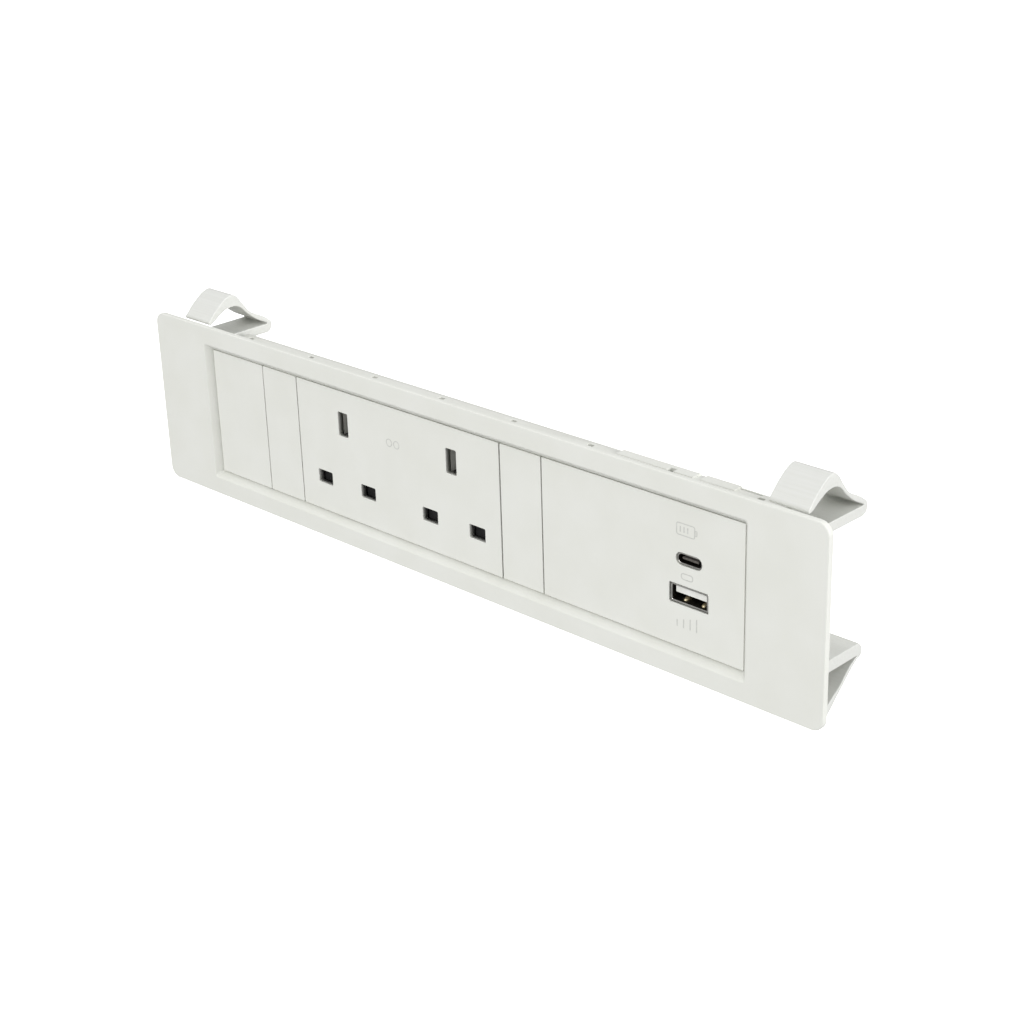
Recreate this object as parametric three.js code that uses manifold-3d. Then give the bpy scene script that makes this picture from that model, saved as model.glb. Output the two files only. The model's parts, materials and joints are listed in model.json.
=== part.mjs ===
// Panel power unit: a long fascia holding five plug-in modules, a rear housing with the
// electrical parts inside, and an extruded clip with two spring arms at each end.
// Millimetres. X runs along the unit, Y from the front to the back and Z up.
// The origin is the middle of the unit, on the back plane of the fascia, which bears on the panel.
import * as THREE from 'three';
import { mergeVertices } from 'three/addons/utils/BufferGeometryUtils.js';
import Module from 'manifold-3d';

const wasm = await Module();
wasm.setup();

// Driving dimensions
const gap = 0.3;                    // clearance kept between neighbouring pieces
const fascia = { width: 304, height: 65.2, front: -2.2, cornerRadius: 4 };
const moduleHeight = 47.2;
const modulePlate = 2.2;            // thickness of each module's front plate
const jointLine = 0.4;              // gap seen between two modules
const moduleEdges = [-121.64, -93.83, -75.5, 23.35, 41.57, 121.64];
const lip = { slope: 2.2, wall: 1.6, depth: 8, clearance: 0.25 };
const housing = { halfLength: 124, halfHeight: 24.5, shoulder: 18.5, back: 34, backHalf: 15.2, wall: 1.5 };
const ridges = [[60, 90.5], [93, 106]];   // stretches of the housing's top that stand a little higher
const ridgeHeight = 0.7;
const ridgeFront = 14.2;
const endSlot = { x: [106, 114], y: [17.4, 18] };
const hooks = { first: -118.7, pitch: 33.4, count: 8, half: 3.4, front: 11.6, back: 13 };
const release = { half: 1.2, back: 16.4 };  // slot behind each hook, where a blade frees it
const cover = { halfLength: 122, halfHeight: 14.4, thickness: 2 };
const ventSlots = { count: 9, first: 62, pitch: 5, half: 0.9, halfHeight: 9 };

// BS 1363 socket: pin pitch, aperture sizes and how far a pin reaches in
const socketCentres = [-51.83, 1.07];
const pin = { side: 11.11, earthZ: 11.39, lineZ: -10.83 };
const lineAperture = { width: 7.2, height: 4.8 };
const earthAperture = { width: 4.8, height: 8.8 };
const socketBody = { left: -74.6, right: 22.6, front: 2.6, top: 21.2, bottom: -21.5 };

// USB receptacles
const usbA = { x: 100.8, z: -6.2, width: 12.5, height: 5.12, wall: 0.4, depth: 13.6 };
const usbAAperture = { width: 14.5, height: 7.15 };
const usbC = { x: 100.6, z: 5.9, width: 8.34, height: 2.56, wall: 0.35, depth: 13.6 };
const usbCAperture = { width: 9.9, height: 4 };
const board = { left: 47.5, right: 119, half: 18.5, front: 14, thickness: 1.6 };

// End clip: a channel section along X with a hump arm above it and a catch arm below it
const clip = { inner: 127, width: 14, webFront: 3.3, webBack: 6.3 };
const topShelf = { upper: 24.9, lower: 21.5 };
const lowShelf = { upper: -19.7, lower: -23.7 };
const topFold = { y: 29.9, z: 24.5, radius: 2.1, pivotY: 30.3, pivotZ: 25.5, root: 1 };
const lowFold = { y: 30.3, z: -22.9, radius: 2.1, pivotY: 30.5, pivotZ: -24.1, root: 0.8 };

const screwHole = 1.75;             // radius of a clearance hole for a 3 mm screw
const screwShank = 1.4;
const round = 14;                   // sides of a small cylinder

const plastic = (color) => new THREE.MeshStandardMaterial({ color, roughness: 0.45, metalness: 0 });
const metal = (color) => new THREE.MeshStandardMaterial({ color, roughness: 0.3, metalness: 1 });
const white = '#e4e4df';
const clipWhite = '#ececea';
const black = '#1a1a1b';
const brass = '#c9a256';
const gold = '#d8b25a';
const steel = '#c6c8ca';

const unit = new THREE.Group();

function add(name, solid, material) {
  const mesh = new THREE.Mesh(solid.isBufferGeometry ? solid : toGeometry(solid), material);
  mesh.name = name;
  unit.add(mesh);
}

function toSolid(geometry) {
  const bare = geometry.clone();
  bare.deleteAttribute('normal');
  bare.deleteAttribute('uv');
  const merged = mergeVertices(bare, 1e-4);
  const vertProperties = new Float32Array(merged.attributes.position.array);
  const triVerts = new Uint32Array(merged.index.array);
  return new wasm.Manifold(new wasm.Mesh({ numProp: 3, vertProperties, triVerts }));
}

function toGeometry(solid) {
  const mesh = solid.getMesh();
  const geometry = new THREE.BufferGeometry();
  geometry.setAttribute('position', new THREE.BufferAttribute(mesh.vertProperties, 3));
  geometry.setIndex(new THREE.BufferAttribute(mesh.triVerts, 1));
  return geometry;
}

// A block between two corners, given as limits on each axis.
function block([x0, x1], [y0, y1], [z0, z1]) {
  const geometry = new THREE.BoxGeometry(x1 - x0, y1 - y0, z1 - z0);
  geometry.translate((x0 + x1) / 2, (y0 + y1) / 2, (z0 + z1) / 2);
  return toSolid(geometry);
}

// A round bar along Y.
function barY(x, z, radius, y0, y1, sides = round) {
  const geometry = new THREE.CylinderGeometry(radius, radius, y1 - y0, sides);
  geometry.translate(x, (y0 + y1) / 2, z);
  return toSolid(geometry);
}

// A round bar along X.
function barX(y, z, radius, x0, x1, sides = 28) {
  const geometry = new THREE.CylinderGeometry(radius, radius, x1 - x0, sides);
  geometry.rotateZ(Math.PI / 2);
  geometry.translate((x0 + x1) / 2, y, z);
  return toSolid(geometry);
}

// A shape drawn in the (Y, Z) plane, extruded along X.
function sectionAlongX(shape, x0, x1) {
  const options = { depth: x1 - x0, bevelEnabled: false, curveSegments: 6 };
  const geometry = new THREE.ExtrudeGeometry(shape, options);
  geometry.applyMatrix4(new THREE.Matrix4().set(0, 0, 1, x0, 1, 0, 0, 0, 0, 1, 0, 0, 0, 0, 0, 1));
  return toSolid(geometry);
}

// A shape drawn in the (X, Z) plane, extruded along Y.
function plateAlongY(shape, y0, y1, bevel = {}) {
  const options = { depth: y1 - y0, bevelEnabled: false, curveSegments: 4, ...bevel };
  const geometry = new THREE.ExtrudeGeometry(shape, options);
  geometry.applyMatrix4(new THREE.Matrix4().set(1, 0, 0, 0, 0, 0, -1, y1, 0, 1, 0, 0, 0, 0, 0, 1));
  return toSolid(geometry);
}

function polygon(points) {
  return new THREE.Shape(points.map(([a, b]) => new THREE.Vector2(a, b)));
}

function roundedRectangle(x, z, width, height, radius) {
  const shape = new THREE.Shape();
  const [w, h, r] = [width / 2, height / 2, radius];
  shape.absarc(x + w - r, z + h - r, r, 0, Math.PI / 2);
  shape.absarc(x - w + r, z + h - r, r, Math.PI / 2, Math.PI);
  shape.absarc(x - w + r, z - h + r, r, Math.PI, 1.5 * Math.PI);
  shape.absarc(x + w - r, z - h + r, r, 1.5 * Math.PI, 2 * Math.PI);
  shape.closePath();
  return shape;
}

function ordered(a, b) {
  return a < b ? [a, b] : [b, a];
}

function joined(solids) {
  return solids.reduce((whole, solid) => whole.add(solid));
}

function cut(solid, tools) {
  return tools.reduce((left, tool) => left.subtract(tool), solid);
}

function screw(x, z, tip, seat, head = 3.1, headHeight = 1.9) {
  return barY(x, z, screwShank, tip, seat).add(barY(x, z, head, seat, seat + headHeight));
}

// Fascia: a plate with a window whose edge slopes in, and a lip behind the window
const lipInner = {
  x: moduleEdges.at(-1) + lip.clearance,
  z: moduleHeight / 2 + lip.clearance,
};
const lipOuter = { x: lipInner.x + lip.wall, z: lipInner.z + lip.wall };
const clipScrewX = clip.inner + clip.width / 2;
const clipScrewZ = 13;
const padHeight = 18;
const hookCentres = Array.from({ length: hooks.count }, (_, i) => hooks.first + hooks.pitch * i);

function makeFascia() {
  const outline = roundedRectangle(0, 0, fascia.width, fascia.height, fascia.cornerRadius);
  const plate = plateAlongY(outline, fascia.front, 0);
  const lipBlock = block([-lipOuter.x, lipOuter.x], [-1, lip.depth], [-lipOuter.z, lipOuter.z]);
  const pads = [];
  const holes = [];
  for (const side of [-1, 1]) {
    const limits = ordered(side * clip.inner, side * (clip.inner + clip.width));
    pads.push(block(limits, [-1, clip.webFront - gap], [-padHeight, padHeight]));
    for (const z of [-clipScrewZ, clipScrewZ]) {
      holes.push(barY(side * clipScrewX, z, screwHole, -0.8, clip.webFront));
    }
  }
  const tongues = [];
  for (const x of hookCentres) {
    const across = [x - hooks.half, x + hooks.half];
    for (const side of [-1, 1]) {
      const strip = ordered(side * (housing.halfHeight + gap), side * (housing.halfHeight + 1.5));
      const nose = ordered(side * (housing.halfHeight - 1), side * (housing.halfHeight + 1));
      tongues.push(block(across, [lip.depth - 1, hooks.back], strip));
      tongues.push(block(across, [hooks.front, hooks.back], nose));
    }
  }
  const opening = block([-lipInner.x, lipInner.x], [-3, lip.depth + 1], [-lipInner.z, lipInner.z]);
  const slopeDepth = -fascia.front;
  const slope = plateAlongY(
    roundedRectangle(0, 0, 2 * lipInner.x, 2 * lipInner.z, 0.5), -2 * slopeDepth, -slopeDepth,
    { bevelEnabled: true, bevelThickness: slopeDepth, bevelSize: lip.slope, bevelSegments: 1 });
  const grooves = [-1, 1].map((side) => {
    const limits = ordered(side * (lipInner.z - 0.5), side * (lipInner.z + 0.85));
    return block([-lipInner.x + 1, lipInner.x - 1], [4.8, 6.8], limits);
  });
  return cut(joined([plate, lipBlock, ...pads, ...tongues]), [opening, slope, ...grooves, ...holes]);
}
add('fascia', makeFascia(), plastic(white));

// Modules: a front plate with snap legs along its upper and lower edges
function modulePlateWithLegs(left, right, legCentres, legHalf) {
  const limits = [left + jointLine / 2, right - jointLine / 2];
  const half = moduleHeight / 2;
  const parts = [block(limits, [0, modulePlate], [-half, half])];
  for (const x of legCentres) {
    for (const side of [-1, 1]) {
      const leg = ordered(side * (half - 1.4), side * (half - 0.2));
      const nose = ordered(side * (half - 0.6), side * (half + 0.7));
      parts.push(block([x - legHalf, x + legHalf], [modulePlate - 0.5, 7.2], leg));
      parts.push(block([x - legHalf, x + legHalf], [5.1, 6.5], nose));
    }
  }
  return joined(parts);
}
const middle = (i) => (moduleEdges[i] + moduleEdges[i + 1]) / 2;
const blanks = { blank_module_wide: 0, blank_module_left: 1, blank_module_right: 3 };
for (const [name, i] of Object.entries(blanks)) {
  add(name, modulePlateWithLegs(moduleEdges[i], moduleEdges[i + 1], [middle(i)], 5), plastic(white));
}

// Twin socket: faceplate, moulded body, bars with spring contacts, and a sliding shutter in each socket
const [cover0, cover1] = [26.6, 28.2];          // the insulating cover behind the bars
const socketScrews = [-10.8, 5];             // heights that pass between the bars
const socketMiddle = (socketCentres[0] + socketCentres[1]) / 2;
const linePins = socketCentres.flatMap((x) => [x - pin.side, x + pin.side]);

function makeSocketFaceplate() {
  const plate = modulePlateWithLegs(moduleEdges[2], moduleEdges[3], [-65, socketMiddle, 14], 5);
  const bosses = [];
  const holes = [];
  for (const z of socketScrews) {
    bosses.push(barY(socketMiddle, z, 3.5, modulePlate - 0.5, 9));
    holes.push(barY(socketMiddle, z, screwHole, 3.5, 10));
  }
  for (const x of linePins) {
    const { width, height } = lineAperture;
    holes.push(plateAlongY(roundedRectangle(x, pin.lineZ, width, height, 0.4), -1, 3));
  }
  for (const x of socketCentres) {
    const { width, height } = earthAperture;
    holes.push(plateAlongY(roundedRectangle(x, pin.earthZ, width, height, 0.4), -1, 3));
  }
  return cut(plate.add(joined(bosses)), holes);
}
add('socket_faceplate', makeSocketFaceplate(), plastic(white));

function makeSocketBody() {
  const { front, top, bottom } = socketBody;
  const rear = 24.8;
  const outline = [[front, top], [19.8, top], [rear, 18.4], [rear, -18.4], [19.8, bottom], [front, bottom]];
  const solid = sectionAlongX(polygon(outline), socketBody.left, socketBody.right);
  const cavities = [];
  for (const x of socketCentres) {
    cavities.push(block([x - 16.2, x + 16.2], [1, 5.3], [-20.9, -7]));
    cavities.push(block([x - 2.5, x + 2.5], [1, 12.5], [-9, 16]));
    cavities.push(block([x - 2.5, x + 2.5], [5, 12.5], [-14, 0]));
    cavities.push(block([x - 3.6, x + 3.6], [12.4, 26], [pin.earthZ - 4.6, pin.earthZ + 4.6]));
  }
  for (const x of linePins) {
    cavities.push(block([x - 3.9, x + 3.9], [1, 26], [pin.lineZ - 3.4, pin.lineZ + 3.4]));
  }
  for (const z of socketScrews) {
    cavities.push(barY(socketMiddle, z, 3.8, 1, 9.3));
    cavities.push(barY(socketMiddle, z, screwHole, 8, 26));
  }
  return cut(solid, cavities);
}
add('socket_body', makeSocketBody(), plastic('#d9d9d4'));

// A bar behind the body with a U-shaped spring contact at each pin of one pole.
const bar = { front: 25.1, back: 25.9, left: -79.5 };
const leaf = { inner: 2.25, thickness: 0.6, half: 3 };
function makeBar(pins, z, railLimits, right, upright) {
  const parts = [block([bar.left, right], [bar.front, bar.back], railLimits)];
  for (const x of pins) {
    const reach = leaf.inner + leaf.thickness;
    const start = upright ? 13.2 : 10;
    for (const side of [-1, 1]) {
      const limits = ordered(side * leaf.inner, side * reach);
      const across = [x - leaf.half, x + leaf.half];
      const along = [z - leaf.half, z + leaf.half];
      parts.push(upright
        ? block([x + limits[0], x + limits[1]], [start, bar.back], along)
        : block(across, [start, bar.back], [z + limits[0], z + limits[1]]));
    }
    const low = Math.min(z - leaf.half, railLimits[0]);
    const high = Math.max(z + leaf.half, railLimits[1]);
    parts.push(block([x - leaf.half, x + leaf.half], [bar.front, bar.back], [low, high]));
  }
  return joined(parts);
}
const barEnd = 28;
const rails = { live: [-17.2, -14.3], neutral: [-7.3, -4.4], earth: [14, 17.4] };
const livePins = socketCentres.map((x) => x + pin.side);
const neutralPins = socketCentres.map((x) => x - pin.side);
add('live_bar', makeBar(livePins, pin.lineZ, rails.live, barEnd, false), metal(brass));
add('neutral_bar', makeBar(neutralPins, pin.lineZ, rails.neutral, barEnd, false), metal(brass));
add('earth_bar', makeBar(socketCentres, pin.earthZ, rails.earth, 8, true), metal(brass));

function makeContactCover() {
  const plate = block([socketBody.left, socketBody.right], [cover0, cover1], [-16.2, 16.2]);
  const holes = socketScrews.map((z) => barY(socketMiddle, z, screwHole, 26, 29));
  return cut(plate, holes);
}
add('contact_cover', makeContactCover(), plastic('#d9d9d4'));
['lower', 'upper'].forEach((level, i) => {
  add(`socket_screw_${level}`, screw(socketMiddle, socketScrews[i], 4, cover1 + 0.1, 2.4, 1.4), metal(steel));
});

// Shutter: a blade over both line apertures, and a ramp that the earth pin pushes down
const blade = { half: 15.6, front: 3, back: 4.8, top: -7.6, bottom: -14.2 };
const ramp = { half: 2, foot: 3.6, rear: 12, crown: 13.6 };
class Helix extends THREE.Curve {
  constructor(x, y, z0, z1, radius, turns) {
    super();
    Object.assign(this, { x, y, z0, z1, radius, turns });
  }

  getPoint(t) {
    const angle = 2 * Math.PI * this.turns * t;
    const z = this.z0 + (this.z1 - this.z0) * t;
    const [across, back] = [this.radius * Math.cos(angle), this.radius * Math.sin(angle)];
    return new THREE.Vector3(this.x + across, this.y + back, z);
  }
}
function ring(radius, sides) {
  const shape = new THREE.Shape();
  for (let i = 0; i < sides; i += 1) {
    const angle = (2 * Math.PI * i) / sides;
    const point = [radius * Math.cos(angle), radius * Math.sin(angle)];
    if (i === 0) shape.moveTo(...point);
    else shape.lineTo(...point);
  }
  shape.closePath();
  return shape;
}
function tubeAlong(path, radius, steps, sides = 8) {
  return toSolid(new THREE.ExtrudeGeometry(ring(radius, sides), { steps, extrudePath: path }));
}
['left', 'right'].forEach((side, i) => {
  const x = socketCentres[i];
  const rampShape = polygon([
    [blade.front, ramp.foot], [ramp.rear, ramp.foot], [ramp.rear, ramp.crown],
    [ramp.rear - 1, ramp.crown], [5, 7], [blade.front, 7],
  ]);
  const shutter = joined([
    block([x - blade.half, x + blade.half], [blade.front, blade.back], [blade.bottom, blade.top]),
    block([x - ramp.half, x + ramp.half], [blade.front, blade.back], [blade.top - 1, ramp.foot + 1]),
    sectionAlongX(rampShape, x - ramp.half, x + ramp.half),
  ]);
  add(`shutter_${side}`, shutter, plastic(black));
  const coil = new Helix(x, 8.8, -13.4, ramp.foot - 0.6, 1.7, 6);
  add(`shutter_spring_${side}`, tubeAlong(coil, 0.3, 54, 5), metal(steel));
});

// USB module: faceplate, receptacles, board and what stands on the board
const boardScrews = [[53, 14], [115, 14]];
function makeUsbFaceplate() {
  const plate = modulePlateWithLegs(moduleEdges[4], moduleEdges[5], [55, 108], 5);
  const bosses = boardScrews.map(([x, z]) => barY(x, z, 3.4, modulePlate - 0.5, board.front - gap));
  const { width, height } = usbAAperture;
  const holes = boardScrews.map(([x, z]) => barY(x, z, screwHole, 5, board.front + 1));
  holes.push(plateAlongY(roundedRectangle(usbA.x, usbA.z, width, height, 0.5), -1, 3));
  const { width: w, height: h } = usbCAperture;
  holes.push(plateAlongY(roundedRectangle(usbC.x, usbC.z, w, h, h / 2 - 0.01), -1, 3));
  return cut(plate.add(joined(bosses)), holes);
}
add('usb_faceplate', makeUsbFaceplate(), plastic(white));

function shell(port, corner) {
  const { x, z, width, height, wall } = port;
  const outer = roundedRectangle(x, z, width + 2 * wall, height + 2 * wall, corner + wall);
  const inner = roundedRectangle(x, z, width, height, corner);
  return plateAlongY(outer, 0.4, port.depth).subtract(plateAlongY(inner, -1, port.depth + 1));
}
const usbCCorner = usbC.height / 2 - 0.01;
add('usb_a_shell', shell(usbA, 0.4), metal(steel));
add('usb_c_shell', shell(usbC, usbCCorner), metal(steel));

const tongueA = { half: 5.55, bottom: usbA.z + 0.1, top: usbA.z + 1.94, front: 1.4 };
const tongueAShape = joined([
  block([usbA.x - tongueA.half, usbA.x + tongueA.half], [tongueA.front, 12], [tongueA.bottom, tongueA.top]),
  block([usbA.x - 5.9, usbA.x + 5.9], [11.4, 13.3], [usbA.z - 2.2, usbA.z + 2.2]),
]);
add('usb_a_tongue', tongueAShape, plastic('#f2f2ef'));
[-3.5, -1, 1, 3.5].forEach((offset, i) => {
  const limits = [usbA.x + offset - 0.5, usbA.x + offset + 0.5];
  const heights = [tongueA.bottom - 0.4, tongueA.bottom - 0.05];
  add(`usb_a_contact_${i + 1}`, block(limits, [2.4, 11], heights), metal(gold));
});
const tongueC = joined([
  block([usbC.x - 3.35, usbC.x + 3.35], [1.2, 12], [usbC.z - 0.35, usbC.z + 0.35]),
  block([usbC.x - 2.9, usbC.x + 2.9], [10.5, 13.3], [usbC.z - 1, usbC.z + 1]),
]);
add('usb_c_tongue', tongueC, plastic('#3a3a3c'));

const boardBack = board.front + board.thickness;
const boardPlate = block([board.left, board.right], [board.front, boardBack], [-board.half, board.half]);
const boardHoles = boardScrews.map(([x, z]) => barY(x, z, screwHole, 13, 17));
add('usb_board', cut(boardPlate, boardHoles), plastic('#1f6b46'));
boardScrews.forEach(([x, z], i) => {
  add(`board_screw_${i + 1}`, screw(x, z, 6, boardBack + 0.1, 2.7, 1.7), metal(steel));
});
const onBoard = boardBack + 0.1;
const core = { x: [60, 78], back: 30, half: 5.5 };
const winding = { x: [62.5, 75.5], front: onBoard + 2.5, back: 27.5, half: 9 };
const transformer = joined([
  block(core.x, [onBoard, core.back], [-core.half, core.half]),
  block(winding.x, [winding.front, winding.back], [-winding.half, winding.half]),
]);
add('transformer', transformer, plastic('#5a4a2c'));
const capacitors = {
  input_capacitor: { x: 86, z: -6, radius: 5, back: 29 },
  output_capacitor: { x: 98, z: 11.5, radius: 4, back: 26 },
};
for (const [name, { x, z, radius, back }] of Object.entries(capacitors)) {
  add(name, barY(x, z, radius, onBoard, back), plastic('#20262e'));
}
const chip = { x: [92, 98], back: 17.4, z: [-4, 1] };
add('controller_chip', block(chip.x, [onBoard, chip.back], chip.z), plastic(black));
const terminals = { x: [50, 57], back: 24, z: [-17.4, -2.6] };
add('terminal_block', block(terminals.x, [onBoard, terminals.back], terminals.z), plastic('#3f7d4c'));

const chokeRing = { x: 108.5, z: -9, radius: 3.6, thickness: 1.8, sides: 8, steps: 16 };
const chokeProfile = [];
for (let i = 0; i <= chokeRing.sides; i += 1) {
  const angle = (2 * Math.PI * i) / chokeRing.sides;
  const { radius, thickness } = chokeRing;
  chokeProfile.push(new THREE.Vector2(radius + thickness * Math.cos(angle), thickness * Math.sin(angle)));
}
const choke = new THREE.LatheGeometry(chokeProfile, chokeRing.steps);
choke.translate(chokeRing.x, onBoard + chokeRing.thickness + 0.1, chokeRing.z);
add('choke', toSolid(choke), plastic('#7a5a2a'));

// Rear housing, its cover and the mains inlet
const inlet = { x: -96, half: 15, halfHeight: 8.5, front: 22, base: 26, back: 38, wall: 2.5 };
const coverFront = housing.back + gap;
const coverBack = coverFront + cover.thickness;
const coverScrews = [];
for (const x of [-118.5, 118.5]) {
  for (const z of [-8, 8]) coverScrews.push([x, z]);
}

function makeRearHousing() {
  const { halfLength, halfHeight, shoulder, back, backHalf, wall } = housing;
  const front = lip.depth + gap;
  const outline = [[front, halfHeight], [front, -halfHeight], [shoulder, -halfHeight], [back, -backHalf],
    [back, backHalf], [shoulder, halfHeight]];
  const inner = halfHeight - wall;
  const hollow = [[front - 1, inner], [front - 1, -inner], [shoulder - 0.4, -inner],
    [back + 1, 1.2 - backHalf], [back + 1, backHalf - 1.2], [shoulder - 0.4, inner]];
  const solid = sectionAlongX(polygon(outline), -halfLength, halfLength);
  const inside = sectionAlongX(polygon(hollow), wall - halfLength, halfLength - wall);
  const bosses = coverScrews.map(([x, z]) => {
    const limits = ordered(Math.sign(x) * 115, Math.sign(x) * (halfLength - 1));
    return block(limits, [22, back - 0.1], [z - 3.6, z + 3.6]);
  });
  const holes = coverScrews.map(([x, z]) => barY(x, z, screwHole, 24, back + 1));
  const through = [-halfHeight - 1, halfHeight + 1];
  const windows = hookCentres.map((x) => (
    block([x - hooks.half - gap, x + hooks.half + gap], [hooks.front - gap, hooks.back + gap], through)));
  const slots = hookCentres.map((x) => (
    block([x - release.half, x + release.half], [hooks.back, release.back], through)));
  const raised = ridges.map((limits) => (
    block(limits, [ridgeFront, shoulder], [halfHeight - 0.5, halfHeight + ridgeHeight])));
  const groove = block(endSlot.x, endSlot.y, [halfHeight - wall - 1, halfHeight + 1]);
  const whole = solid.subtract(inside).add(joined([...bosses, ...raised]));
  return cut(whole, [...holes, ...windows, ...slots, groove]);
}
add('rear_housing', makeRearHousing(), plastic(white));

function makeBackCover() {
  const limits = [-cover.halfHeight, cover.halfHeight];
  const plate = block([-cover.halfLength, cover.halfLength], [coverFront, coverBack], limits);
  const holes = coverScrews.map(([x, z]) => barY(x, z, screwHole, 33, 38));
  const room = inlet.half + gap;
  const tallRoom = inlet.halfHeight + gap;
  holes.push(block([inlet.x - room, inlet.x + room], [33, 38], [-tallRoom, tallRoom]));
  for (let i = 0; i < ventSlots.count; i += 1) {
    const x = ventSlots.first + ventSlots.pitch * i;
    const tall = [-ventSlots.halfHeight, ventSlots.halfHeight];
    holes.push(block([x - ventSlots.half, x + ventSlots.half], [33, 38], tall));
  }
  return cut(plate, holes);
}
add('back_cover', makeBackCover(), plastic(white));
coverScrews.forEach(([x, z], i) => {
  add(`cover_screw_${i + 1}`, screw(x, z, 26, coverBack + 0.1, 2.8, 1.6), metal(steel));
});

const inletPins = { live: inlet.x - 8, neutral: inlet.x, earth: inlet.x + 8 };
function makeInlet() {
  const { x, half, halfHeight, front, base, back, wall } = inlet;
  const body = block([x - half, x + half], [front, back], [-halfHeight, halfHeight]);
  const tall = halfHeight + 2.5;
  const flange = block([x - half - 3, x + half + 3], [coverBack + 0.1, back], [-tall, tall]);
  const inner = halfHeight - wall;
  const hollow = block([x - half + wall, x + half - wall], [base, back + 1], [-inner, inner]);
  const holes = Object.values(inletPins).map((px) => barY(px, 0, 1.8, front - 1, base + 1));
  return cut(body.add(flange), [hollow, ...holes]);
}
add('inlet_body', makeInlet(), plastic(black));
for (const [pole, x] of Object.entries(inletPins)) {
  add(`inlet_pin_${pole}`, barY(x, 0, 1.5, 20, 35.5), metal(brass));
}

// Internal wires: each runs from an inlet pin or a bar to where it is fastened
const wireEnd = -77.3;
const wireRadius = 1.2;
const wires = {
  wire_live: { color: '#6b3f22', route: [[inletPins.live, 19.4, 0], [inletPins.live, 14, -4],
    [-95, 11.5, -12], [-81, 12, -15.6], [wireEnd, 17, -15.7], [wireEnd, 24.7, -15.7]] },
  wire_neutral: { color: '#2458a6', route: [[inletPins.neutral, 19.4, 0], [inletPins.neutral, 14, 0],
    [-88, 10.5, -3], [-79.5, 12, -6], [wireEnd, 17, -6], [wireEnd, 24.7, -6]] },
  wire_earth: { color: '#5a8f2f', route: [[inletPins.earth, 19.4, 0], [inletPins.earth, 15.5, 3],
    [-84, 13.5, 12], [-78.5, 15.5, 15.7], [wireEnd, 20, 15.8], [wireEnd, 24.7, 15.8]] },
  feed_live: { color: '#6b3f22', route: [[25.6, 24.7, -15.7], [25.6, 20.5, -15.7], [32, 17.5, -15],
    [43, 18.5, -13.5], [49.7, 19.5, -13.5]] },
  feed_neutral: { color: '#2458a6', route: [[25.6, 24.7, -5.9], [25.6, 20.5, -5.9], [32, 17.5, -6],
    [43, 18.5, -6.5], [49.7, 19.5, -6.5]] },
};
for (const [name, { color, route }] of Object.entries(wires)) {
  const points = route.map((point) => new THREE.Vector3(...point));
  const path = new THREE.CatmullRomCurve3(points, false, 'centripetal');
  add(name, tubeAlong(path, wireRadius, 16), plastic(color));
}

// End clips
function smoothOutline(stretches) {
  const points = stretches.flatMap(({ through, steps }) => {
    const curve = new THREE.SplineCurve(through.map(([y, z]) => new THREE.Vector2(y, z)));
    return curve.getPoints(steps);
  });
  return new THREE.Shape(points);
}

function makeClipFrame(x0, x1) {
  const { webFront, webBack } = clip;
  const outline = polygon([
    [webFront, lowShelf.lower], [lowFold.y, lowShelf.lower], [lowFold.y, lowShelf.upper],
    [webBack, lowShelf.upper], [webBack, topShelf.lower], [topFold.y, topShelf.lower],
    [topFold.y, topShelf.upper], [webFront, topShelf.upper],
  ]);
  const noses = [
    barX(topFold.y, topFold.z, topFold.radius, x0, x1).subtract(
      block([x0 - 1, x1 + 1], [20, topFold.y], [topShelf.upper, 30])),
    barX(lowFold.y, lowFold.z, lowFold.radius, x0, x1).subtract(
      block([x0 - 1, x1 + 1], [20, lowFold.y], [-30, lowShelf.lower])),
    block([x0, x1], [topFold.y - 3, topFold.y + 0.9], [topShelf.lower, topShelf.lower + 2]),
    block([x0, x1], [lowFold.y - 3, lowFold.y + 0.9], [lowShelf.upper - 2, lowShelf.upper]),
  ];
  const seats = [topFold, lowFold].map(({ pivotY, pivotZ, root }) => (
    barX(pivotY, pivotZ, root + gap, x0 - 1, x1 + 1)));
  const holes = [-clipScrewZ, clipScrewZ].map((z) => barY(Math.sign(x0) * clipScrewX, z, screwHole, 0, 8));
  return cut(joined([sectionAlongX(outline, x0, x1), ...noses]), [...seats, ...holes]);
}

// Hump arm: leaves the fold, rises to a thick crest and comes down to a thin free end.
const humpOuter = [[30.9, 26.3], [27.8, 28.5], [22.8, 31.3], [19.4, 35.2], [17.1, 38.3], [14.8, 39.8],
  [12.4, 39.3], [8.2, 36.7], [3, 31.5]];
const humpInner = [[4.5, 30.6], [8.3, 33.2], [12.9, 35.1], [17.2, 34.6], [21.3, 30.9], [25.4, 27.7],
  [29.7, 24.75]];

// Catch arm: leaves the fold, slopes down and forward, and thickens to a blunt free end.
const catchOuter = [[13, -40.2], [16.1, -37.8], [20.8, -33.2], [25.6, -28.6], [30, -24.9]];
const catchInner = [[30.3, -23.5], [28.4, -24.5], [25.9, -26.3], [21.6, -30.4], [17.3, -33.4], [13.4, -36.6]];

function makeArm(first, second, fold, x0, x1) {
  const shape = smoothOutline([{ through: first, steps: 20 }, { through: second, steps: 16 }]);
  return sectionAlongX(shape, x0, x1).add(barX(fold.pivotY, fold.pivotZ, fold.root, x0, x1, 20));
}

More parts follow.
